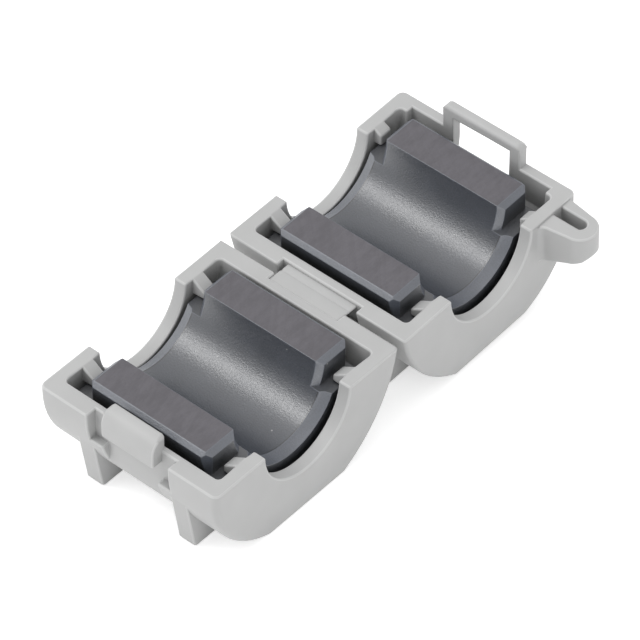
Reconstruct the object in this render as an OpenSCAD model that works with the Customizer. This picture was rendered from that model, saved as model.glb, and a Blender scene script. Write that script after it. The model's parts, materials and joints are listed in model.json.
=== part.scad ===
// Clip-on ferrite bead, lying open with both halves face up.
// X runs along the cable, Y from the base half to the lid half, Z up.
// The origin is on the cable axis of the base core, halfway along the core.

/* [Case] */
// Length of the case along the cable
case_l = 36.3; // [36:0.1:39]
// Width of each half across the cable
half_w = 42.2; // [42.2:0.1:43]
// Depth of each half below its rim
case_d = 17.9; // [17.7:0.05:18.2]
// Thickness of the two end walls
end_wall = 2.4; // [2.1:0.05:2.5]
// Thickness of the two side walls at the rim
side_wall = 3.3; // [3.2:0.1:3.6]
// Thickness of the floor under the core
floor_t = 2.25; // [1.95:0.05:2.25]
// Radius of the corners on the latch side, upright and all the way round the end faces
corner_r = 1.2; // [0.8:0.1:1.5]
// Radius of the edges of the end faces underneath and on the hinge side
end_r = 0.5; // [0.4:0.1:1.2]
// Radius of the outside on the latch side
latch_side_r = 17.8; // [17.6:0.1:18.2]
// Radius of the outside on the hinge side, which is flatter
hinge_side_r = 23.6; // [23.4:0.1:24.2]

/* [Cores] */
// Length of each ferrite core along the cable
core_l = 28.1; // [27.6:0.1:28.4]
// Width of each core across its outside
core_w = 33.2; // [32:0.1:33.4]
// Diameter of the cable hole when the cores meet
bore_d = 18.9; // [16:0.1:18.9]
// Height of a core from its mating face to its flat back
core_d = 15.2; // [14.6:0.05:15.25]
// How far a core stands above the rim while the case is open
core_proud = 1.5; // [1.2:0.05:1.5]
// Length taken off both ends of a core's mating faces
step_l = 1.75; // [1.65:0.05:1.9]
// Height of that step below the mating face
step_h = 4.6; // [4.6:0.05:4.8]

/* [Hinge] */
// Gap between the two halves
hinge_gap = 1.5; // [1.2:0.1:2]
// Angle by which the open lid stands up from flat
lid_tilt = 2.3; // [0:0.1:3]
// Width of the thin hinge strap along the cable
strap_w = 14.2; // [10:0.1:15]
// Thickness of the hinge strap
strap_t = 0.6; // [0.4:0.05:0.8]

/* [Latch] */
// Width of the loop on the lid
loop_w = 16; // [15:0.1:17]
// Height of the loop above the lid's rim
loop_h = 4.65; // [4.6:0.05:4.8]
// Thickness of the loop's bar and legs
loop_t = 1.95; // [1.85:0.05:2]
// Width of the catch on the base
catch_w = 10.6; // [8:0.1:10.8]
// Height of the catch above the base's rim
catch_h = 2.85; // [2.5:0.05:2.85]

/* [Feet and tie lug] */
// Thickness of each foot along the cable
foot_t = 3.3; // [2:0.1:4]
// Distance of each foot from the middle of the case
foot_x = 9.55; // [8:0.05:12]
// Reach of the cable-tie lug beyond the end wall
lug_reach = 8; // [7.8:0.1:10]
// Width of the slot for a cable tie
slot_w = 2.25; // [1.6:0.05:2.4]
// Length of that slot
slot_l = 5.7; // [4:0.1:5.8]

/* [Hidden] */
$fn = 96;

case_grey = [0.76, 0.76, 0.77];
ferrite_grey = [0.36, 0.36, 0.38];
spring_steel = [0.62, 0.63, 0.65];

eps = 0.01;                          // overlap of solids that are joined
far = 60;                            // longer than the part in any direction

// Case, measured from the middle of its rim
hx = case_l / 2;                     // outer face of an end wall
hy = half_w / 2;                     // outer face of a side wall
latch_side_up = -1.4;                // height of the centres of the two outside radii
hinge_side_up = 3;
pocket_x = hx - end_wall;            // inner face of an end wall
pocket_y = hy - side_wall;           // inner face of a side wall, and radius of the pocket
pocket_low = floor_t - case_d;       // floor of the pocket
pocket_r = 0.8;                      // inner upright corners
cut_r = 9.75;                        // cable cut-outs in the end walls

rim_z = -core_proud;                 // both rims, from the mating face of the cores
axis_y = hy + hinge_gap / 2;         // hinge axis, midway between the halves
axis_up = 0.1;                       // hinge axis above the rims, which close 0.2 apart

// Ribs on the end walls, which hold the cores down
rib_y = 12.65;
rib_w = 2.5;
rib_reach = 2.6;
rib_tip_up = -1.7;                   // the top slopes to here, for the core to ride over
rib_tip_low = -2.95;
rib_root_low = -3.2;

// Hinge recess, loop recess and latch
recess_in = 1.55;                    // hinge recess, into the facing side wall
recess_w = strap_w + 2;              // on the lid; the strap fills the one on the base
recess_low = -4;
recess_r = 0.8;
strap_up = -0.35;                    // top of the strap, from the rim
strap_lap = 0.1;                     // each half of the strap crosses the hinge axis by this
loop_in = hy - loop_t;               // inner face of the loop
loop_corner_r = 1.3;
loop_edge_r = 0.7;                   // rounded edges of the loop's bar
window_w = 11.5;
window_low = -6.2;                   // opening below the loop, in the lid's side wall
thin_x = 14.3;                       // the lid's side wall is thin this far each way
thin_low = -6;
keep_w = loop_w + 0.6;               // recess in the base that takes the loop
keep_in = loop_in - 0.15;            // its floor
keep_low = -5.7;
keep_mid_w = catch_w + 0.6;          // narrower recess below the catch
keep_mid_low = -11;
catch_low = -2.4;                    // ledge that the bar of the loop hooks under
catch_in = 2.9;                      // depth of the catch, from the outside of the case
catch_r = 2.7;                       // rounded back of the catch
catch_bevel = 0.5;                   // upper corners of the catch

// Feet
foot_top = -7.2;
foot_top_y = [20.1, 18.8];           // latch side and hinge side, where a foot leaves the outside
foot_low_y = 18.5;                   // outer face of a foot at the underside
foot_r = 0.9;                        // rounding between the two
foot_in_y = 7;                       // where a foot ends inside the flat underside

// Tie lug, beyond the end wall and beside the middle of the half
lug_tip_r = 3.1;
lug_tip_y = 15.75;
lug_root_y = [12.1, 19.6];
lug_fillet_r = 1.3;
lug_drop = 0.3;                      // top of the lug below the rim
lug_root_h = 8.2;
lug_tip_h = 5.6;
lug_tip_cut = 0.9;                   // bevel under the tip
slot_y = 16.2;

// Cores and their springs
core_r = core_w / 2;
bore_r = bore_d / 2;
edge_side = 0.75;                    // chamfers along the outer edges of the mating faces
edge_end = 0.9;                      // chamfers at the ends of the mating faces
edge_corner = 1.2;                   // chamfers on the upright corners above the steps
edge_bore = [1, 0.9];                // chamfers of the bore, above and below the steps
spring_l = 24;
spring_w = 8;
spring_t = 0.4;

// A section in Y and Z, carried along X
module along_x(l) rotate([90, 0, 90]) linear_extrude(height = l, center = true) children();

// A section in X and Z, carried along Y
module along_y(l) rotate([90, 0, 0]) linear_extrude(height = l, center = true) children();

// Rectangle with round corners, centred
module round_rect(l, w, r) {
    square([l, w - 2 * r], center = true);
    square([l - 2 * r, w], center = true);
    for (sx = [-1, 1], sy = [-1, 1])
        translate([sx * (l / 2 - r), sy * (w / 2 - r)]) circle(r);
}

// Both halves are drawn about the middle of their own rim, with the hinge towards +Y
module in_base() translate([0, 0, rim_z]) children();
module in_lid()
    translate([0, axis_y, rim_z + axis_up]) rotate([lid_tilt, 0, 0])
        translate([0, axis_y, -axis_up]) mirror([0, 1, 0]) children();

// Disc across the cable, as thick as the case is long, with both of its edges rounded
module round_disc(r, edge) rotate([0, 90, 0]) rotate_extrude() intersection() {
    round_rect(2 * r, case_l, edge);
    translate([0, -hx]) square([r, case_l]);
}

// Outside of a half: round on the latch side, flatter on the hinge side, flat underneath
module outside() {
    hinge_side_y = hy - sqrt(pow(hinge_side_r, 2) - pow(hinge_side_up, 2));
    intersection() {
        union() {
            translate([-hx, -hy, latch_side_up]) cube([case_l, hy, -latch_side_up]);
            intersection() {
                translate([-hx, -hy, -case_d]) cube([case_l, hy + eps, case_d]);
                translate([0, latch_side_r - hy, latch_side_up]) round_disc(latch_side_r, corner_r);
            }
            intersection() {
                translate([-hx, 0, -case_d]) cube([case_l, hy, case_d]);
                translate([0, hinge_side_y, hinge_side_up]) round_disc(hinge_side_r, end_r);
            }
        }
        translate([0, 0, -case_d]) linear_extrude(case_d) {
            round_rect(case_l, half_w, corner_r);
            translate([-hx, 0]) square([case_l, hy]);
        }
        along_y(2 * half_w) round_rect(case_l, 2 * case_d, end_r);
    }
}

// Space for the core: upright at the rim, round below, with a flat floor
module pocket() {
    intersection() {
        along_x(2 * pocket_x) {
            translate([-pocket_y, -eps]) square([2 * pocket_y, 1]);
            intersection() {
                circle(pocket_y);
                translate([-pocket_y, pocket_low]) square([2 * pocket_y, -pocket_low]);
            }
        }
        translate([0, 0, -case_d]) linear_extrude(case_d + 1)
            round_rect(2 * pocket_x, 2 * pocket_y, pocket_r);
    }
}

// Half-round cuts in both end walls, where the cable passes
module cable_cuts() rotate([0, 90, 0]) cylinder(r = cut_r, h = case_l + 2, center = true);

// Four ribs that snap over the steps of the core
module ribs() {
    for (sx = [0, 1], sy = [-1, 1]) mirror([sx, 0, 0]) translate([0, sy * rib_y, 0]) along_y(rib_w)
        polygon([[pocket_x + eps, 0], [pocket_x, 0], [pocket_x - rib_reach, rib_tip_up],
                 [pocket_x - rib_reach, rib_tip_low], [pocket_x + eps, rib_root_low]]);
}

// Four upright fins that stand the half case level
module feet() {
    for (sx = [-1, 1], sy = [0, 1]) translate([sx * foot_x, 0, 0]) mirror([0, 1 - sy, 0])
        along_x(foot_t) {
            polygon([[foot_top_y[sy], foot_top], [foot_low_y, foot_r - case_d],
                     [foot_low_y - foot_r, -case_d], [foot_in_y, -case_d], [foot_in_y, foot_top]]);
            translate([foot_low_y - foot_r, foot_r - case_d]) circle(foot_r);
        }
}

// What the two halves have in common
module half_case(hinge_recess_w) {
    difference() {
        union() {
            outside();
            feet();
        }
        pocket();
        cable_cuts();
        translate([0, hy, 0]) along_y(2 * recess_in)
            round_rect(hinge_recess_w, -2 * recess_low, recess_r);
    }
    ribs();
}

// Catch with a flat ledge below and a round back that the loop rides over
module catch() {
    intersection() {
        along_x(catch_w) {
            translate([-hy, catch_low]) square([catch_in, catch_h - catch_r - catch_low]);
            translate([catch_r - hy, catch_low])
                square([catch_in - catch_r, catch_h - catch_low]);
            intersection() {
                translate([catch_r - hy, catch_h - catch_r]) circle(catch_r);
                translate([-hy, 0]) square([catch_r + eps, catch_h]);
            }
        }
        along_y(2 * half_w) polygon([
            [-catch_w / 2, catch_low], [catch_w / 2, catch_low],
            [catch_w / 2, catch_h - catch_bevel], [catch_w / 2 - catch_bevel, catch_h],
            [catch_bevel - catch_w / 2, catch_h], [-catch_w / 2, catch_h - catch_bevel]]);
    }
}

// Half that stays put, with the recess for the loop in its outer side
module case_base() {
    color(case_grey) in_base() {
        difference() {
            half_case(strap_w);
            for (cut = [[keep_w, keep_low], [keep_mid_w, keep_mid_low]])
                translate([-cut[0] / 2, -far, cut[1]]) cube([cut[0], far - keep_in, far]);
        }
        catch();
    }
}

// Loop that hooks over the catch, in line with the lid's outer side
module latch_loop() {
    intersection() {
        along_y(2 * half_w) difference() {
            union() {
                round_rect(loop_w, 2 * loop_h, loop_corner_r);
                translate([-loop_w / 2, 0]) square([loop_w, loop_h - loop_corner_r]);
            }
            translate([-far / 2, -far]) square(far);
            translate([-window_w / 2, -1]) square([window_w, loop_h - loop_t + 1]);
        }
        translate([0, -hy + loop_t / 2, 0]) along_x(loop_w + 1)
            round_rect(loop_t, 2 * loop_h, loop_edge_r);
    }
}

// Lug at one end of the lid, with a slot for a cable tie
module tie_lug() {
    tip_x = lug_reach - lug_tip_r;
    root_y = lug_fillet_r - lug_root_y[0];
    intersection() {
        along_y(far) translate([hx, 0]) polygon([
            [-corner_r, -lug_drop], [lug_reach, -lug_drop], [lug_reach, lug_tip_cut - lug_tip_h],
            [lug_reach - lug_tip_cut, -lug_tip_h], [0, -lug_root_h], [-corner_r, -lug_root_h]]);
        translate([hx, 0, -far / 2]) linear_extrude(far) difference() {
            union() {
                translate([tip_x, -lug_tip_y]) circle(lug_tip_r);
                polygon([[-corner_r, root_y], [lug_fillet_r, root_y],
                         [lug_fillet_r, -lug_root_y[0]], [tip_x, lug_tip_r - lug_tip_y],
                         [tip_x, -lug_tip_r - lug_tip_y], [0, -lug_root_y[1]],
                         [-corner_r, -lug_root_y[1]]]);
            }
            translate([lug_fillet_r, root_y]) circle(lug_fillet_r);
            translate([slot_l - slot_w / 2, -slot_y]) circle(slot_w / 2);
            translate([0, -slot_y - slot_w / 2]) square([slot_l - slot_w / 2, slot_w]);
        }
    }
}

// Half that swings over, with the loop and the tie lug
module case_lid() {
    color(case_grey) in_lid() {
        difference() {
            half_case(recess_w);
            translate([-thin_x, -loop_in, thin_low]) cube([2 * thin_x, loop_in, far]);
            translate([-window_w / 2, -far, window_low]) cube([window_w, far - pocket_y, far]);
        }
        latch_loop();
        tie_lug();
    }
}

// Thin strap that both halves fold about, from one recess to the other
module hinge_strap() {
    module half_strap()
        translate([-strap_w / 2, hy - recess_in, strap_up - strap_t])
            cube([strap_w, recess_in + hinge_gap / 2 + strap_lap, strap_t]);
    color(case_grey) {
        in_base() half_strap();
        in_lid() half_strap();
    }
}

// Half-round ferrite core about the cable axis, with its mating faces at the top
module core() {
    step_x = core_l / 2 - step_l;
    difference() {
        along_x(core_l) difference() {
            circle(core_r);
            circle(bore_r);
            translate([-far / 2, 0]) square(far);
            translate([-far / 2, -core_d - far]) square(far);
            for (s = [-1, 1])
                polygon([[s * (core_r - edge_side), eps], [s * far, eps],
                         [s * far, -edge_side], [s * core_r, -edge_side]]);
        }
        for (sx = [0, 1]) mirror([sx, 0, 0]) {
            along_y(far) translate([step_x, 0])
                polygon([[-edge_end, 0], [-edge_end, 1], [step_l + 1, 1], [step_l + 1, -step_h],
                         [0, -step_h], [0, -edge_end]]);
            translate([0, 0, -step_h]) linear_extrude(step_h + 1) for (s = [-1, 1])
                polygon([[step_x - edge_corner, s * core_r], [step_x, s * (core_r - edge_corner)],
                         [step_x + step_l, s * (core_r - edge_corner)], [step_x, s * far]]);
            intersection() {
                translate([0, -far / 2, -step_h]) cube(far);
                bore_chamfer(step_x, edge_bore[0]);
            }
            bore_chamfer(core_l / 2, edge_bore[1]);
        }
    }
}

// Cone that widens the end of the bore at x by this much
module bore_chamfer(x, edge)
    translate([x - edge, 0, 0]) rotate([0, 90, 0])
        cylinder(r1 = bore_r, r2 = bore_r + 2 * edge, h = 2 * edge);

module core_base() color(ferrite_grey) in_base() translate([0, 0, core_proud]) core();
module core_lid() color(ferrite_grey) in_lid() translate([0, 0, core_proud]) core();

// Bowed leaf spring between the floor and the flat back of a core
module core_spring() {
    rise = core_proud - core_d - pocket_low;
    r = (spring_l * spring_l / 4 + rise * rise) / (2 * rise);
    along_y(spring_w) translate([0, pocket_low]) intersection() {
        translate([-far / 2, 0]) square(far);
        translate([0, rise - r]) difference() {
            circle(r, $fn = 360);
            circle(r - spring_t, $fn = 360);
        }
    }
}
module core_spring_base() color(spring_steel) in_base() core_spring();
module core_spring_lid() color(spring_steel) in_lid() core_spring();

case_base();
case_lid();
hinge_strap();
core_base();
core_lid();
core_spring_base();
core_spring_lid();
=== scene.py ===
"""Clip-on ferrite bead, lying open: a hinged grey case that holds two half-round ferrite cores.

Everything is in metres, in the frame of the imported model: X runs along the cable, Y from the
base half to the lid half, Z up. The cases and cores are the model's own solids with their
moulded or ground edges rounded. The hinge strap and the springs are surfaces worked out here.
"""

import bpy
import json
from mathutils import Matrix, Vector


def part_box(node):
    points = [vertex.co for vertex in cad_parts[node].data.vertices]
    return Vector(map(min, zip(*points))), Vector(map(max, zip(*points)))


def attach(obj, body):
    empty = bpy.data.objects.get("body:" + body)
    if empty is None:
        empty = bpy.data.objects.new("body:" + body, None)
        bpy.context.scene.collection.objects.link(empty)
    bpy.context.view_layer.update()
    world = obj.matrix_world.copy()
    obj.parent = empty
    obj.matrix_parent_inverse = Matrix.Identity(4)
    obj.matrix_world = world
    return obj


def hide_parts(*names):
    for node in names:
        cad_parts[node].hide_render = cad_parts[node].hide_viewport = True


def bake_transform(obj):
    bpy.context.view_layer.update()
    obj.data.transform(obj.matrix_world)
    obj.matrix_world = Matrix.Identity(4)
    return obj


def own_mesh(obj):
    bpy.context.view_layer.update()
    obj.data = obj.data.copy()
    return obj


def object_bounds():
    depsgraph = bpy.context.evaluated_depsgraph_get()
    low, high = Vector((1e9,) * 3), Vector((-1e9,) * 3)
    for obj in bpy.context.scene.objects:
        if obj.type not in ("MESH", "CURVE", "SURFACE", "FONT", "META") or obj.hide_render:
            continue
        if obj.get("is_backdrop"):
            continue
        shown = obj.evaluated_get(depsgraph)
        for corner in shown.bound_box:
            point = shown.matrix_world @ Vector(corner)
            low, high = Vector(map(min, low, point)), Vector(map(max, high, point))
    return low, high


bl_info = {
    "name": "Clip-on ferrite bead",
    "version": (1, 0, 0),
    "blender": (4, 5, 0),
    "location": "View3D > Sidebar > Ferrite Bead",
    "description": "Dresses and lights a hinged cable case with two ferrite cores",
    "category": "Object",
}

import itertools
import json
import math

import bmesh
import bpy
import numpy as np
from bpy.props import FloatProperty, FloatVectorProperty, IntProperty, PointerProperty
from mathutils import Matrix, Vector
from mathutils.bvhtree import BVHTree

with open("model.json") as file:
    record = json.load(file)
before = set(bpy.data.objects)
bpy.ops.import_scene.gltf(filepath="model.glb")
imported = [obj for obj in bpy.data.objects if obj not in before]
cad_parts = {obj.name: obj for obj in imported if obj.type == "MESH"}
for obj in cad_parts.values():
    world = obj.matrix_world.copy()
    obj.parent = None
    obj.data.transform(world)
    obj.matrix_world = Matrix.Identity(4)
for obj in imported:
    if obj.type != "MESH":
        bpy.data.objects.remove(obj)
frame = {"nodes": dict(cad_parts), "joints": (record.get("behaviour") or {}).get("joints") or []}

MM = 0.001
CASES = {"base": "case_base", "lid": "case_lid"}
CORES = ("core_base", "core_lid")
SPRINGS = {"core_spring_base": ("base", "core_press_base"), "core_spring_lid": ("lid", "core_press_lid")}

JOINTS = {joint["name"]: joint for joint in frame["joints"]}
HINGE_AT = np.array(JOINTS["lid_hinge"]["pos_m"])
SLIDES = [joint for joint in frame["joints"] if joint["type"] == "slide"]
CORE_TILT = {joint["child"]: math.atan2(-joint["axis"][1], joint["axis"][2]) for joint in SLIDES}
LID_TILT = CORE_TILT["core_lid"]

# A convex edge is bevelled if it turns by more than SHARP degrees, and one that turns by 1 to GENTLE
# degrees lies in a curve. A face is shaded flat if such edges are at most FLAT_SHARE of its outline.
SHARP = 38
GENTLE = 20
FLAT_SHARE = 0.25

# Where a bevel strays from the surface by more than STRAY_SHARE of its width, the edges near it are
# left unbevelled: the short ones first, within a growing distance, both counted in bevel widths.
# LEAST_FOLD is twice the area, in square metres, of the smallest triangle that counts as folded.
STRAY_SHARE = 0.75
CUT_LENGTHS = (2, 6, math.inf)
CUT_DISTANCES = (0.4, 0.8, 1.6, 2.4)
LEAST_FOLD = 4e-9


# ---------------------------------------------------------------- settings


class BeadCaseSettings(bpy.types.PropertyGroup):
    """Sizes and colours of the moulded case."""

    edge: FloatProperty(name="Edge radius", description="Rounding of the moulded edges", default=0.30 * MM,
                        min=0, unit="LENGTH")
    fold_depth: FloatProperty(name="Fold depth", description="Depth of the fold line in the hinge strap",
                              default=0.12 * MM, min=0, unit="LENGTH")
    fold_fall: FloatProperty(name="Fold fall", description="Fall of the hinge strap from the base to the lid",
                             default=0.12 * MM, min=0, unit="LENGTH")
    steps: IntProperty(name="Edge steps", description="Faces across each rounded edge", default=3,
                       min=1, max=6)
    # Painted highlight: the bevels are made lighter than the plastic, standing in for light caught on the
    # rounded edges.
    edge_highlight: FloatProperty(name="Edge lightness", description="How much lighter the rounded edges are",
                              default=1.18, min=1)
    colour: FloatVectorProperty(name="Colour", description="Grey of the plastic", subtype="COLOR",
                                size=3, default=(0.520, 0.522, 0.520))
    roughness: FloatProperty(name="Roughness", description="Roughness of the plastic", default=0.46,
                             min=0, max=1)


class BeadCoreSettings(bpy.types.PropertyGroup):
    """Sizes and colours of the ferrite cores."""

    edge: FloatProperty(name="Edge radius", description="Wear of the sintered edges", default=0.09 * MM,
                        min=0, unit="LENGTH")
    end_reach: FloatProperty(name="End reach", description="How much further the ends reach under the ribs",
                             default=0.8 * MM, min=0, max=1.4 * MM, unit="LENGTH")
    ground: FloatVectorProperty(name="Ground faces", description="Colour of the ground mating faces",
                                subtype="COLOR", size=3, default=(0.122, 0.116, 0.130))
    bore_roughness: FloatProperty(name="Bore roughness", description="Roughness of the bore", default=0.33,
                                  min=0, max=1)
    # Painted light: the chamfers are made lighter than the ferrite, standing in for the light that falls on
    # them.
    chamfer_painted_light: FloatProperty(name="Chamfer lightness", description="How much lighter the chamfers are",
                                 default=1.8, min=1)
    # Painted glints: a few white specks in the colour stand in for sparkles of light.
    glint: FloatProperty(name="Glint", description="Lightness of the few bright grains", default=0.35,
                         min=0, max=1)
    sintered: FloatVectorProperty(name="Sintered faces", description="Colour of the unground ferrite",
                                  subtype="COLOR", size=3, default=(0.036, 0.042, 0.056))


class BeadStageSettings(bpy.types.PropertyGroup):
    """Camera, floor and lamps."""

    distance: FloatProperty(name="Camera distance", description="From the camera to what it looks at",
                            default=0.78227, min=0.1, unit="LENGTH")
    azimuth: FloatProperty(name="Azimuth", description="Camera's turn about the vertical",
                           default=math.radians(40.559), subtype="ANGLE")
    elevation: FloatProperty(name="Elevation", description="Camera's angle above the floor",
                             default=math.radians(45.382), subtype="ANGLE")
    roll: FloatProperty(name="Roll", description="Camera's turn about its own line of sight",
                        default=math.radians(0.457), subtype="ANGLE")
    lens: FloatProperty(name="Lens", description="Focal length in millimetres on a 36 mm sensor",
                        default=284.31)
    target: FloatVectorProperty(name="Target", description="Point that the camera looks at", size=3,
                                subtype="TRANSLATION", default=(5.068 * MM, 17.765 * MM, -1.5 * MM))
    floor_glow: FloatProperty(name="Floor glow", description="Light of the floor's own that the camera sees",
                              default=0.55, min=0, max=1)
    ambient: FloatProperty(name="Ambient", description="Brightness of the white surroundings", default=0.72)


# ---------------------------------------------------------------- meshes


def new_object(name, data):
    """An object at the origin of the scene that shows that data."""
    obj = bpy.data.objects.new(name, data)
    bpy.context.scene.collection.objects.link(obj)
    return obj


def merged_copy(node, name, shortest=0.06 * MM):
    """A copy of a node's mesh with its corners merged, its flat faces joined and no very short edges."""
    bm = bmesh.new()
    bm.from_mesh(frame["nodes"][node].data)
    bmesh.ops.remove_doubles(bm, verts=bm.verts, dist=0.002 * MM)
    bmesh.ops.dissolve_limit(bm, angle_limit=math.radians(0.5), verts=bm.verts, edges=bm.edges)
    bmesh.ops.dissolve_degenerate(bm, dist=shortest, edges=bm.edges)
    mesh = bpy.data.meshes.new(name)
    bm.to_mesh(mesh)
    bm.free()
    return new_object(name, mesh)


def measure_edges(mesh):
    """Each edge's turn in degrees, its two ends and whether it is convex, and which faces are curved."""
    bm = bmesh.new()
    bm.from_mesh(mesh)
    turn = np.array([math.degrees(edge.calc_face_angle(0.0)) for edge in bm.edges])
    ends = np.array([[vert.co for vert in edge.verts] for edge in bm.edges])
    convex = np.array([edge.is_convex for edge in bm.edges])
    length = np.linalg.norm(ends[:, 1] - ends[:, 0], axis=1)
    gentle = length * ((turn > 1) & (turn < GENTLE))
    curved = [sum(gentle[edge.index] for edge in face.edges) for face in bm.faces]
    around = [sum(length[edge.index] for edge in face.edges) for face in bm.faces]
    bm.free()
    return turn, ends, convex, np.array(curved) > FLAT_SHARE * np.array(around)


def round_edges(obj, width, steps, material):
    """Bevels the convex edges that turn sharply, in the material of that index, and shades flat faces flat.

    Where a bevel would fold or stray, it is left out, short edges first.
    """
    mesh = obj.data
    turn, ends, convex, curved = measure_edges(mesh)
    length = np.linalg.norm(ends[:, 1] - ends[:, 0], axis=1)
    sharp = turn > SHARP
    rounded = convex & sharp
    mesh.polygons.foreach_set("use_smooth", curved)
    mesh.attributes.new("bevel_weight_edge", "FLOAT", "EDGE")
    mesh.attributes.new("sharp_edge", "BOOLEAN", "EDGE")
    bevel = obj.modifiers.new("rounded edges", "BEVEL")
    bevel.width = width
    bevel.segments = steps
    bevel.limit_method = "WEIGHT"
    bevel.miter_outer = "MITER_ARC"
    bevel.use_clamp_overlap = False
    bevel.material = material
    normals = obj.modifiers.new("flat faces stay flat", "WEIGHTED_NORMAL")
    normals.mode = "FACE_AREA"
    normals.weight = 80
    normals.keep_sharp = True
    surface = BVHTree.FromPolygons([v.co for v in mesh.vertices], [p.vertices for p in mesh.polygons])
    strays = mark_edges(obj, rounded, sharp, surface, STRAY_SHARE * width)
    for longest, near in itertools.product(CUT_LENGTHS, CUT_DISTANCES):
        if not len(strays):
            return
        rounded &= (edge_distance(ends, strays) > near * width) | (length > longest * width)
        strays = mark_edges(obj, rounded, sharp, surface, STRAY_SHARE * width)


def mark_edges(obj, rounded, sharp, surface, reach):
    """Marks the edges for the bevel, and returns the places where the bevelled mesh then strays."""
    mesh = obj.data
    mesh.attributes["bevel_weight_edge"].data.foreach_set("value", rounded.astype(np.float32))
    mesh.attributes["sharp_edge"].data.foreach_set("value", sharp & ~rounded)
    mesh.update()
    return stray_points(obj, surface, reach)


def stray_points(obj, surface, reach):
    """Places where the finished mesh is beyond reach of the surface, stands out of it or is folded."""
    evaluated = obj.evaluated_get(bpy.context.evaluated_depsgraph_get())
    mesh = evaluated.to_mesh()
    mesh.calc_loop_triangles()
    corners = np.array([v.co for v in mesh.vertices])
    triangles = corners[np.array([t.vertices for t in mesh.loop_triangles])]
    evaluated.to_mesh_clear()
    facing = np.cross(triangles[:, 1] - triangles[:, 0], triangles[:, 2] - triangles[:, 0])
    area = np.linalg.norm(facing, axis=1)
    strays = []
    for corner in map(Vector, corners):
        near, outwards, _, gap = surface.find_nearest(corner)
        stands_out = (corner - near).dot(outwards) > 0.1 * reach
        if gap > reach or stands_out:
            strays.append(near)
    for middle, normal, size in zip(triangles.mean(axis=1), facing, area):
        near, outwards, _, gap = surface.find_nearest(Vector(middle))
        folded = size > LEAST_FOLD and outwards.dot(Vector(normal)) < 0
        if gap > reach or folded:
            strays.append(near)
    return np.array(strays)


def edge_distance(ends, points):
    """Distance of each edge, given by its two ends, from the nearest of the points."""
    start, run = ends[:, None, 0], (ends[:, 1] - ends[:, 0])[:, None]
    along = ((points[None] - start) * run).sum(-1) / np.maximum((run * run).sum(-1), 1e-18)
    nearest = start + np.clip(along, 0, 1)[..., None] * run
    return np.linalg.norm(points[None] - nearest, axis=-1).min(axis=1)


def closed_tube(name, points):
    """A smooth tube through a grid of points, by (row, column, xyz).

    Its rows run round it, and a flat face closes each end.
    """
    rows, columns = points.shape[:2]
    index = np.arange(rows * columns).reshape(rows, columns)
    index = np.vstack([index, index[:1]])
    quads = np.stack([index[:-1, :-1], index[:-1, 1:], index[1:, 1:], index[1:, :-1]], axis=-1)
    mesh = bpy.data.meshes.new(name)
    mesh.from_pydata(points.reshape(-1, 3).tolist(), [], quads.reshape(-1, 4).tolist())
    bm = bmesh.new()
    bm.from_mesh(mesh)
    bmesh.ops.holes_fill(bm, edges=[edge for edge in bm.edges if edge.is_boundary])
    bmesh.ops.recalc_face_normals(bm, faces=bm.faces)
    bm.to_mesh(mesh)
    bm.free()
    mesh.polygons.foreach_set("use_smooth", [True] * len(mesh.polygons))
    return new_object(name, mesh)


def base_to_lid(points):
    """Carries points of the base half to the lid half.

    They are mirrored about the hinge axis, then turned about it by the lid's tilt.
    """
    x, y, z = np.moveaxis(points - HINGE_AT, -1, 0)
    cos, sin = math.cos(LID_TILT), math.sin(LID_TILT)
    return HINGE_AT + np.stack([x, -y * cos - z * sin, z * cos - y * sin], axis=-1)


def show(obj, body, node, slot, *materials):
    """Puts the materials on a finished piece, which stands for a node and moves with its body."""
    for material in materials:
        obj.data.materials.append(material)
    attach(obj, body)
    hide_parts(node)


# ---------------------------------------------------------------- shader maths


class Socket:
    """A shader value that adds its Math nodes as it is used in an expression."""

    def __init__(self, shader, out):
        self.shader = shader
        self.out = out

    def math(self, operation, *others):
        """A Math node of this value and the others."""
        values = dict(enumerate((self, *others)))
        return self.shader.node("ShaderNodeMath", {"operation": operation}, values)

    def other(self, name):
        """Another output of the same node."""
        return Socket(self.shader, self.out.node.outputs[name])

    def __add__(self, other):
        return self.math("ADD", other)

    __radd__ = __add__

    def __mul__(self, other):
        return self.math("MULTIPLY", other)

    __rmul__ = __mul__


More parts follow.
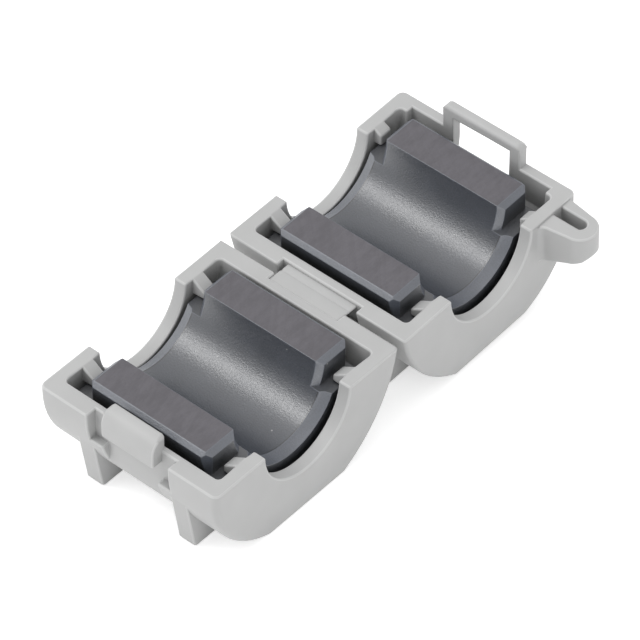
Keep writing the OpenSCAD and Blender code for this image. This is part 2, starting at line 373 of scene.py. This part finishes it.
class Shader:
    """A material's node tree, with one method that makes any node."""

    def __init__(self, name):
        self.material = bpy.data.materials.new(name)
        self.material.use_nodes = True
        self.tree = self.material.node_tree
        self.tree.nodes.clear()

    def node(self, kind, settings=None, values=None, output=0):
        """A node of that type: its settings come first, then the values or links of its sockets."""
        made = self.tree.nodes.new(kind)
        for key, value in (settings or {}).items():
            setattr(made, key, value)
        for key, value in (values or {}).items():
            if isinstance(value, Socket):
                self.tree.links.new(value.out, made.inputs[key])
            else:
                made.inputs[key].default_value = value
        return Socket(self, made.outputs[output]) if made.outputs else None

    def place(self):
        """Where a point is on the piece."""
        return self.node("ShaderNodeTexCoord", output="Object")

    def stretch(self, where, scale, turn=0.0):
        """The place, turned about the vertical and scaled along each axis."""
        values = {"Vector": where, "Rotation": (0, 0, turn), "Scale": scale}
        return self.node("ShaderNodeMapping", values=values)

    def noise(self, where, scale, detail, roughness=0.5):
        """A cloudy pattern of values round 0.5."""
        values = {"Vector": where, "Scale": scale, "Detail": detail, "Roughness": roughness}
        return self.node("ShaderNodeTexNoise", values=values)

    def bump(self, height, strength, distance, **others):
        """A normal that follows the height."""
        values = {"Height": height, "Strength": strength, "Distance": distance, **others}
        return self.node("ShaderNodeBump", values=values)

    def mix(self, factor, a, b):
        """Colour a where the factor is 0 and b where it is 1."""
        return self.node("ShaderNodeMix", {"data_type": "RGBA"}, {0: factor, 6: a, 7: b}, output=2)

    def clamp(self, value, low, high):
        """0 up to low, 1 from high, and a straight line between."""
        return self.node("ShaderNodeMapRange", {"clamp": True}, {0: value, 1: low, 2: high})

    def painted_hollow_shade(self, colour, share, reach=6 * MM):
        """The colour, darkened to that share of itself in hollows narrower than reach: painted shade, its
        amount read from an ambient occlusion node.
        """
        open_sky = self.node("ShaderNodeAmbientOcclusion", {"samples": 8}, {"Distance": reach}, "AO")
        dark = self.node("ShaderNodeMix", {"data_type": "RGBA", "blend_type": "MULTIPLY"},
                         {0: 1.0, 6: colour, 7: (share, share, share, 1)}, output=2)
        return self.mix(self.clamp(open_sky, 0.1, 0.55), dark, colour)

    def specks(self, where, scale, size, share):
        """1 near the middles of that share of a pattern's cells, out to that size, and 0 elsewhere."""
        distance = self.node("ShaderNodeTexVoronoi", values={"Vector": where, "Scale": scale})
        chance = self.node("ShaderNodeSeparateColor", values={"Color": distance.other("Color")})
        return self.clamp(distance, size, size * 0.6) * self.clamp(chance, share, share * 0.99)

    def finish(self, **inputs):
        """The material, its surface a principled shader with these inputs."""
        values = {name.replace("_", " "): value for name, value in inputs.items()}
        surface = self.node("ShaderNodeBsdfPrincipled", values=values)
        self.node("ShaderNodeOutputMaterial", values={"Surface": surface})
        return self.material


def rgba(colour, share=1.0):
    """The colour, taken share times and opaque."""
    return (*[c * share for c in colour], 1.0)


def plastic(settings, name, share):
    """Light grey moulding, its colour taken share times, which above 1 paints a highlight: a fine
    spark-eroded grain, faintly cloudy, with painted shade in its hollows.

    The normals are softened across its edges, so that those without a bevel catch the light too.
    """
    shader = Shader(name)
    where = shader.place()
    cloud = shader.noise(where, scale=160, detail=2)
    grain = shader.noise(where, scale=5200, detail=2, roughness=0.6)
    dark, light = rgba(settings.colour, 0.975 * share), rgba(settings.colour, 1.025 * share)
    colour = shader.mix(shader.clamp(cloud, 0.3, 0.7), dark, light)
    soft = shader.node("ShaderNodeBevel", {"samples": 6}, {"Radius": 1.5 * settings.edge})
    roughness = shader.clamp(grain, 0, 1) * 0.08 + (settings.roughness - 0.04)
    # Painted shade: in hollows the colour is darkened to 0.62 of itself.
    return shader.finish(
        Base_Color=shader.painted_hollow_shade(colour, 0.62), Roughness=roughness, IOR=1.5,
        Normal=shader.bump(grain, strength=0.1, distance=0.02 * MM, Normal=soft))


def ground_ferrite(settings):
    """Mating face: dark grey with faint mottling, a few pits and the wide arcs left by the grinding wheel."""
    shader = Shader("ferrite_ground")
    where = shader.place()
    mottle = shader.noise(shader.stretch(where, (1, 0.3, 1), turn=0.25), scale=700, detail=5, roughness=0.75)
    grain = shader.noise(where, scale=3000, detail=2)
    blotch = shader.noise(where, scale=110, detail=3, roughness=0.6)
    wheel = (-70 * MM, -40 * MM, 0)
    reach = shader.node("ShaderNodeVectorMath", {"operation": "DISTANCE"}, {0: where, 1: wheel}, "Value")
    arcs = shader.node("ShaderNodeTexNoise", {"noise_dimensions": "1D"},
                       {"W": reach + mottle * (1.2 * MM), "Scale": 900, "Detail": 4, "Roughness": 0.75})
    tone = mottle * 0.5 + blotch * 0.25 + arcs * 0.15 + grain * 0.1
    dark, light, pit = [rgba(settings.ground, share) for share in (0.86, 1.09, 0.45)]
    plain = shader.mix(shader.clamp(tone, 0.43, 0.57), dark, light)
    pits = shader.specks(where, scale=260, size=0.10, share=0.05)
    return shader.finish(
        Base_Color=shader.mix(pits, plain, pit), Roughness=mottle * 0.14 + 0.46, IOR=1.6,
        Normal=shader.bump(grain * 0.5 + arcs, strength=0.12, distance=0.02 * MM))


def sintered_ferrite(settings, name, share, rough, painted_hollow_shade=0.6, line_x=None):
    """Unground ferrite, its colour taken share times: satin, with a speckle of grains and a few painted
    glints, white specks that stand in for sparkles of light.

    In hollows the colour is darkened, as painted shade, to the share given for them, and it is dark beyond
    line_x from the core's middle.
    """
    shader = Shader(name)
    where = shader.place()
    speckle = shader.noise(where, scale=3400, detail=2, roughness=0.8)
    cloud = shader.noise(where, scale=300, detail=3)
    tone = speckle * 0.7 + cloud * 0.3
    dark, light, line = [rgba(settings.sintered, part) for part in (0.80 * share, 1.20 * share, 0.15)]
    plain = shader.mix(shader.clamp(tone, 0.35, 0.65), dark, light)
    # Painted glints: a few specks of white in the colour stand in for sparkles of light on the grains.
    glints = shader.specks(where, scale=900, size=0.16, share=0.03)
    colour = shader.mix(glints, plain, rgba((1, 1, 1), settings.glint))
    if line_x:
        x = shader.node("ShaderNodeSeparateXYZ", values={"Vector": where})
        beyond = shader.clamp(x.math("ABSOLUTE"), line_x, line_x + 0.02 * MM)
        colour = shader.mix(beyond, colour, line)
    return shader.finish(
        Base_Color=shader.painted_hollow_shade(colour, painted_hollow_shade), Roughness=cloud * 0.1 + (rough - 0.05), IOR=2.35,
        Normal=shader.bump(speckle, strength=0.6, distance=0.08 * MM))


def spring_steel():
    """Rolled spring steel, with fine lines along the strip."""
    shader = Shader("spring_steel")
    lines = shader.noise(shader.stretch(shader.place(), (1, 12, 12)), scale=900, detail=3)
    colour = shader.mix(lines, rgba((0.50, 0.51, 0.53)), rgba((0.62, 0.63, 0.65)))
    return shader.finish(Base_Color=colour, Roughness=lines * 0.15 + 0.25, Metallic=1.0)


# ---------------------------------------------------------------- operators


class BEAD_OT_cases(bpy.types.Operator):
    """Rounds the moulded edges of both halves of the case"""

    bl_idname = "bead.cases"
    bl_label = "Cases"

    def execute(self, context):
        settings = context.scene.bead_case
        faces = plastic(settings, "case_plastic", 1.0)
        # Painted highlight: the bevels, material 1, take a lighter copy of the plastic, standing in for light
        # caught on the rounded edges.
        edges = plastic(settings, "case_plastic_edge", settings.edge_highlight)
        for body, node in CASES.items():
            obj = merged_copy(node, node + "_moulded")
            round_edges(obj, settings.edge, settings.steps, material=1)
            show(obj, body, node, "case", faces, edges)
        return {"FINISHED"}


class BEAD_OT_strap(bpy.types.Operator):
    """Makes the film hinge, which has a fold line beside the lid"""

    bl_idname = "bead.strap"
    bl_label = "Hinge strap"

    def execute(self, context):
        settings = context.scene.bead_case
        obj = strap_surface(settings)
        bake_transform(obj)
        obj.data.materials.append(bpy.data.materials["case_plastic"])
        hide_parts("hinge_strap")
        return {"FINISHED"}


def strap_surface(settings):
    """The strap's skin: a slab that falls across the gap to the lid, with a fold line at the lid's wall.

    top(y) = top - fall * clamp((y - a) / (b - a)) - depth * exp(-((y - b) / w)^2) between the walls a and b,
    bottom(y) = the same less the thickness, and both ends are rounded: at d from an end the
    inset is r - sqrt(r^2 - (r - d)^2).
    """
    lo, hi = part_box("hinge_strap")
    half_gap, fold_width = 0.75 * MM, 0.22 * MM
    top, thick = lo.z + 0.6 * MM, 0.45 * MM
    base_wall, lid_wall = HINGE_AT[1] - half_gap, HINGE_AT[1] + half_gap
    y = np.linspace(lo.y, hi.y, 120)
    level = top - settings.fold_fall * np.clip((y - base_wall) / (lid_wall - base_wall), 0, 1)
    dent = settings.fold_depth * np.exp(-((y - lid_wall) / fold_width) ** 2)
    radius = thick / 2
    d = radius * (1 - np.cos(np.linspace(0, math.pi / 2, 7)))
    inset = radius - np.sqrt(np.maximum(0, radius ** 2 - (radius - d) ** 2))
    straight = np.linspace(lo.x, hi.x, 40)[2:-2]
    x = np.concatenate([lo.x + d, straight, (hi.x - d)[::-1]])
    inset = np.concatenate([inset, np.zeros(len(straight)), inset[::-1]])
    upper = (level - dent)[:, None] - inset[None, :]
    lower = (level - thick)[:, None] + inset[None, :]
    z = np.concatenate([upper, lower[::-1]])
    points = np.empty((*z.shape, 3))
    points[..., 0] = x[None, :]
    points[..., 1] = np.concatenate([y, y[::-1]])[:, None]
    points[..., 2] = z
    return closed_tube("hinge_film", points)


def core_faces(mesh, core):
    """Material of each face of a core: 0 its outside, 1 ground mating faces, 2 chamfers, 3 the bore.

    Mating faces are level and on top, the bore looks at its own axis, and chamfers slant at the ends
    or run along the top. Slants are told by how much of the normal is along x, up and to the axis.
    """
    tilt = CORE_TILT[core]
    up = np.array([0, -math.sin(tilt), math.cos(tilt)])
    axis = base_to_lid(np.zeros(3)) if core == "core_lid" else np.zeros(3)
    normals = np.array([p.normal for p in mesh.polygons])
    centres = np.array([p.center for p in mesh.polygons]) - axis
    away = centres * (0, 1, 1)
    inward = -(normals * away).sum(axis=1) / np.linalg.norm(away, axis=1)
    along, level = np.abs(normals[:, 0]), normals @ up
    depth = (centres @ up).max() - centres @ up
    crosswise = along < 0.1
    mating = (level > 0.999) & (depth < 0.1 * MM)
    bore = crosswise & (inward > 0.97)
    end_chamfers = (along > 0.2) & (along < 0.95)
    top_chamfers = crosswise & (level > 0.3) & (level < 0.95) & (depth < 1 * MM) & ~bore
    return np.select([mating, end_chamfers | top_chamfers, bore], [1, 2, 3], 0).astype(np.int32)


def lengthen(mesh, reach):
    """Moves both end faces outwards by reach, which also draws out the cones at the ends of the bore."""
    points = np.empty(3 * len(mesh.vertices))
    mesh.vertices.foreach_get("co", points)
    x = points[::3]
    x += reach * np.sign(x) * (np.abs(x) > np.abs(x).max() - 0.05 * MM)
    mesh.vertices.foreach_set("co", points)
    mesh.update()


class BEAD_OT_cores(bpy.types.Operator):
    """Gives both ferrite cores their ground and sintered faces"""

    bl_idname = "bead.cores"
    bl_label = "Ferrite cores"

    def execute(self, context):
        settings = context.scene.bead_core
        dark_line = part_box("core_base")[1].x - 1.18 * MM
        # Painted shade: the outsides, which sit in the shade of the case, are darker than the ferrite (0.65)
        # and darker still in hollows (0.3).
        outside = sintered_ferrite(settings, "ferrite_sintered", 0.65, 0.42, painted_hollow_shade=0.3)
        mating = ground_ferrite(settings)
        # Painted light: the chamfers and the bevels, material 2, take a lighter copy of the ferrite, as if
        # lit.
        chamfer = sintered_ferrite(settings, "ferrite_chamfer", settings.chamfer_painted_light, 0.40)
        bore = sintered_ferrite(settings, "ferrite_bore", 1.0, settings.bore_roughness, line_x=dark_line)
        for core in CORES:
            obj = merged_copy(core, core + "_ferrite")
            lengthen(obj.data, settings.end_reach)
            obj.data.polygons.foreach_set("material_index", core_faces(obj.data, core))
            round_edges(obj, settings.edge, 2, material=2)
            show(obj, core, core, "ferrite", outside, mating, chamfer, bore)
        return {"FINISHED"}


def leaf_spring(node, body):
    """A bowed steel leaf, and its seat on the case's floor.

    top(x) = floor + thick + (rise - thick) * (1 + cos(2 pi x / length)) / 2, in the base's frame. Its
    cross-section is a rounded bar as wide as the solid, so the strip has no sharp edges.
    """
    lo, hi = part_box("core_spring_base")
    thick, rise, length, half = 0.4 * MM, hi.z - lo.z, hi.x - lo.x, (hi.y - lo.y) / 2
    x = np.linspace(lo.x, hi.x, 121)
    bow = lo.z + (rise - thick) * (1 + np.cos(2 * math.pi * x / length)) / 2
    around = np.linspace(0, 2 * math.pi, 25)[:-1]
    side = np.sign(np.cos(around)) * (half - thick / 2) + np.cos(around) * thick / 2
    up = thick / 2 + np.sin(around) * thick / 2
    points = np.empty((len(around), len(x), 3))
    points[..., 0] = x[None, :]
    points[..., 1] = side[:, None]
    points[..., 2] = up[:, None] + bow[None, :]
    seat = np.array([0.0, 0.0, lo.z])
    if body == "lid":
        points, seat = base_to_lid(points), base_to_lid(seat)
    return closed_tube(node + "_leaf", points), tuple(seat)


class BEAD_OT_springs(bpy.types.Operator):
    """Makes the leaf springs under the cores"""

    bl_idname = "bead.springs"
    bl_label = "Core springs"

    def execute(self, context):
        material = spring_steel()
        for node, (body, joint) in SPRINGS.items():
            obj, seat = leaf_spring(node, body)
            show(obj, body, node, "spring", material)
            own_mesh(obj)
        return {"FINISHED"}


class BEAD_OT_stage(bpy.types.Operator):
    """Sets up the floor, the lamps and the camera"""

    bl_idname = "bead.stage"
    bl_label = "Stage"

    def execute(self, context):
        settings = context.scene.bead_stage
        context.scene.view_settings.view_transform = "Standard"
        lo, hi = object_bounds()
        build_floor(lo.z, settings)
        build_world(settings)
        build_lamps((lo + hi) / 2)
        build_camera(settings)
        return {"FINISHED"}


def build_floor(level, settings):
    """A wide flat floor, which is white where nothing shades it."""
    half = 3.0
    corners = [(-half, -half, level), (half, -half, level), (half, half, level), (-half, half, level)]
    mesh = bpy.data.meshes.new("floor")
    mesh.from_pydata(corners, [], [(0, 1, 2, 3)])
    floor = new_object("floor", mesh)
    shader = Shader("floor_white")
    camera_ray = shader.node("ShaderNodeLightPath", output="Is Camera Ray")
    seen = camera_ray
    for name in ("Is Glossy Ray", "Is Transmission Ray"):
        seen = seen.math("MAXIMUM", camera_ray.other(name))
    glow = shader.mix(seen, (0, 0, 0, 1), rgba((1, 1, 1), settings.floor_glow))
    floor.data.materials.append(shader.finish(
        Base_Color=(0.88, 0.88, 0.88, 1), Roughness=0.9, Emission_Color=glow, Emission_Strength=1.0,
        Specular_IOR_Level=0.0))
    floor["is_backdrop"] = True


def build_world(settings):
    """White surroundings that light the bead evenly and show as pure white."""
    world = bpy.data.worlds.new("surroundings")
    bpy.context.scene.world = world
    world.use_nodes = True
    world.node_tree.nodes.clear()
    nodes, links = world.node_tree.nodes, world.node_tree.links
    path = nodes.new("ShaderNodeLightPath")
    mix = nodes.new("ShaderNodeMix")
    mix.inputs[2].default_value = settings.ambient
    mix.inputs[3].default_value = 1.0
    links.new(path.outputs["Is Camera Ray"], mix.inputs[0])
    sky = nodes.new("ShaderNodeBackground")
    sky.inputs["Color"].default_value = (1, 1, 1, 1)
    links.new(mix.outputs[0], sky.inputs["Strength"])
    out = nodes.new("ShaderNodeOutputWorld")
    links.new(sky.outputs[0], out.inputs["Surface"])


def build_lamps(middle):
    """Softboxes round the middle: name, direction, distance and size in metres, and power in watts.

    The key one, up on the left, is the one that shows in the bores.
    """
    for name, direction, distance, size, power in (
        ("key_softbox", (-0.457, -0.487, 0.745), 1.0, 0.42, 2.1),
        ("top_softbox", (0.0, 0.0, 1.0), 1.2, 0.9, 1.3),
        ("left_softbox", (-0.9, -0.1, 0.43), 1.2, 0.9, 1.5),
        ("side_softbox", (0.85, -0.25, 0.46), 1.2, 1.0, 1.3),
    ):
        lamp = bpy.data.lights.new(name, "AREA")
        lamp.shape = "SQUARE"
        lamp.size = size
        lamp.energy = power
        toward = Vector(direction).normalized()
        obj = new_object(name, lamp)
        obj.location = middle + toward * distance
        obj.rotation_mode = "QUATERNION"
        obj.rotation_quaternion = toward.to_track_quat("Z", "Y")


def build_camera(settings):
    """The camera, by its angles round its target."""
    azimuth, elevation = settings.azimuth, settings.elevation
    flat = math.cos(elevation)
    back = Vector((math.sin(azimuth) * flat, -math.cos(azimuth) * flat, math.sin(elevation)))
    right = Vector((math.cos(azimuth), math.sin(azimuth), 0.0))
    up = back.cross(right)
    cos, sin = math.cos(settings.roll), math.sin(settings.roll)
    right, up = right * cos + up * sin, up * cos - right * sin
    turn = Matrix((right, up, back)).transposed().to_4x4()
    camera = bpy.data.cameras.new("camera")
    camera.lens = settings.lens
    camera.sensor_width = 36.0
    camera.clip_start, camera.clip_end = 0.05, 20.0
    obj = new_object("camera", camera)
    obj.matrix_world = Matrix.Translation(Vector(settings.target) + back * settings.distance) @ turn
    bpy.context.scene.camera = obj


class BEAD_PT_panel(bpy.types.Panel):
    """Lists the bead's operators and settings"""

    bl_label = "Ferrite Bead"
    bl_space_type = "VIEW_3D"
    bl_region_type = "UI"
    bl_category = "Ferrite Bead"

    def draw(self, context):
        for group in ("bead_case", "bead_core", "bead_stage"):
            box = self.layout.box()
            settings = getattr(context.scene, group)
            for name in settings.__annotations__:
                box.prop(settings, name)
        for operator in OPERATORS:
            self.layout.operator(operator.bl_idname)


SETTINGS = {"bead_case": BeadCaseSettings, "bead_core": BeadCoreSettings, "bead_stage": BeadStageSettings}
OPERATORS = (BEAD_OT_cases, BEAD_OT_strap, BEAD_OT_cores, BEAD_OT_springs, BEAD_OT_stage)
CLASSES = (*SETTINGS.values(), *OPERATORS, BEAD_PT_panel)


def register():
    """Registers the classes, and puts the settings on the scene."""
    for cls in CLASSES:
        bpy.utils.register_class(cls)
    for name, cls in SETTINGS.items():
        setattr(bpy.types.Scene, name, PointerProperty(type=cls))


def unregister():
    """Takes back what register did."""
    for name in SETTINGS:
        delattr(bpy.types.Scene, name)
    for cls in reversed(CLASSES):
        bpy.utils.unregister_class(cls)


def main():
    """Makes every piece and the stage."""
    register()
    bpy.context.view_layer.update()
    bpy.ops.bead.cases()
    bpy.ops.bead.strap()
    bpy.ops.bead.cores()
    bpy.ops.bead.springs()
    bpy.ops.bead.stage()


if __name__ == "__main__":
    main()
